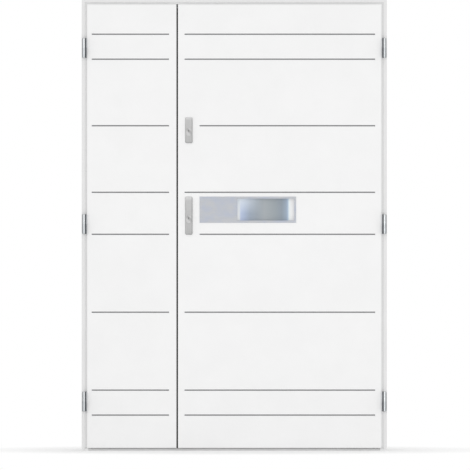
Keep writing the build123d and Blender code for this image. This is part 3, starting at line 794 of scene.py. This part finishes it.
# a share of 1 for what the camera sees straight, or through a reflection or glass
def seenDirectly(tree):
    path = addNode(tree, "ShaderNodeLightPath").outputs
    first = addNode(tree, "ShaderNodeMath",
                    links={0: path["Is Camera Ray"], 1: path["Is Glossy Ray"]},
                    operation="MAXIMUM")
    both = addNode(tree, "ShaderNodeMath",
                   links={0: first.outputs[0], 1: path["Is Transmission Ray"]},
                   operation="MAXIMUM")
    return both.outputs[0]


# a pale floor that keeps the door's shadow and fades to the white background
def makeFloor():
    bpy.ops.object.select_all(action="DESELECT")
    bpy.ops.mesh.primitive_plane_add(size=stageValues["floorSize"], location=(0, 0, 0))
    floor = bpy.context.object
    floor.name = "studioFloor"
    material = bpy.data.materials.new("paleFloor")
    material.use_nodes = True
    tree = material.node_tree
    tree.nodes.clear()
    matt = addNode(tree, "ShaderNodeBsdfDiffuse", {"Color": hexColour(stageValues["floorTone"])})
    white = addNode(tree, "ShaderNodeEmission", {"Color": (1, 1, 1, 1), "Strength": 1.0})
    place = addNode(tree, "ShaderNodeTexCoord")
    oval = addNode(tree, "ShaderNodeVectorMath", {1: (1, stageValues["depthFactor"], 1)},
                   {0: place.outputs["Object"]}, operation="MULTIPLY")
    distance = addNode(tree, "ShaderNodeVectorMath", links={0: oval.outputs[0]},
                       operation="LENGTH")
    fade = addNode(tree, "ShaderNodeMapRange",
                   {"From Min": stageValues["fadeStart"], "From Max": stageValues["fadeEnd"]},
                   {"Value": distance.outputs["Value"]})
    share = addNode(tree, "ShaderNodeMath",
                    links={0: fade.outputs["Result"], 1: seenDirectly(tree)},
                    operation="MULTIPLY")
    mixed = addNode(tree, "ShaderNodeMixShader",
                    links={0: share.outputs[0], 1: matt.outputs[0], 2: white.outputs[0]})
    addNode(tree, "ShaderNodeOutputMaterial", links={"Surface": mixed.outputs[0]})
    floor.data.materials.append(material)


# an even soft light from all sides, white where it is seen
def makeWorld():
    world = bpy.data.worlds.new("softStudio")
    scene.world = world
    world.use_nodes = True
    tree = world.node_tree
    tree.nodes.clear()
    ambient = addNode(tree, "ShaderNodeBackground",
                      {"Color": (1, 1, 1, 1), "Strength": stageValues["ambient"]})
    white = addNode(tree, "ShaderNodeBackground", {"Color": (1, 1, 1, 1), "Strength": 1.0})
    mixed = addNode(tree, "ShaderNodeMixShader",
                    links={0: seenDirectly(tree), 1: ambient.outputs[0], 2: white.outputs[0]})
    addNode(tree, "ShaderNodeOutputWorld", links={"Surface": mixed.outputs[0]})


lampTarget = (0, 0, 1.04)  # the middle of the door's height
lamps = {
    "frontSoftbox": {"spot": (-4.2, -7.2, 2.8), "size": 4.0, "power": 54, "mirrored": True},
    "rightFill": {"spot": (3.0, -5.4, 0.3), "size": 2.4, "power": 30, "mirrored": True},
    "lowFill": {"spot": (0.2, -3.2, 0.65), "size": 1.2, "power": 4.6, "mirrored": False},
    "backSoftbox": {"spot": (2.4, 6.0, 3.0), "size": 3.4, "power": 50, "mirrored": True},
}


def makeLamps():
    target = Vector(lampTarget)
    for name, values in lamps.items():
        lamp = bpy.data.lights.new(name, "AREA")
        lamp.size = values["size"]
        lamp.energy = values["power"]
        holder = bpy.data.objects.new(name, lamp)
        holder.location = values["spot"]
        holder.rotation_euler = (target - holder.location).to_track_quat("-Z", "Y").to_euler()
        holder.visible_camera = False
        holder.visible_glossy = values["mirrored"]
        scene.collection.objects.link(holder)


cameraValues = {
    "distance": 25.0,
    "pixelsAcross": 470,
    "pixelSize": 4.607 * mm,
    "aimX": 3.2 * mm,
    "aimZ": 992.8 * mm,
    "sensor": 36.0,
    "clipEnd": 100,
}


# square on from far away, so that nothing converges
def makeCamera():
    camera = bpy.data.cameras.new("frontCamera")
    camera.sensor_width = cameraValues["sensor"]
    across = cameraValues["pixelsAcross"] * cameraValues["pixelSize"]
    camera.lens = cameraValues["sensor"] * cameraValues["distance"] / across
    camera.clip_end = cameraValues["clipEnd"]
    holder = bpy.data.objects.new("frontCamera", camera)
    y = leafFaces["face"] - cameraValues["distance"]
    holder.location = (cameraValues["aimX"], y, cameraValues["aimZ"])
    holder.rotation_euler = (math.radians(90), 0, 0)
    scene.collection.objects.link(holder)
    scene.camera = holder


makeFloor()
makeWorld()
makeLamps()
makeCamera()
scene.view_settings.view_transform = "Standard"
print("stage")
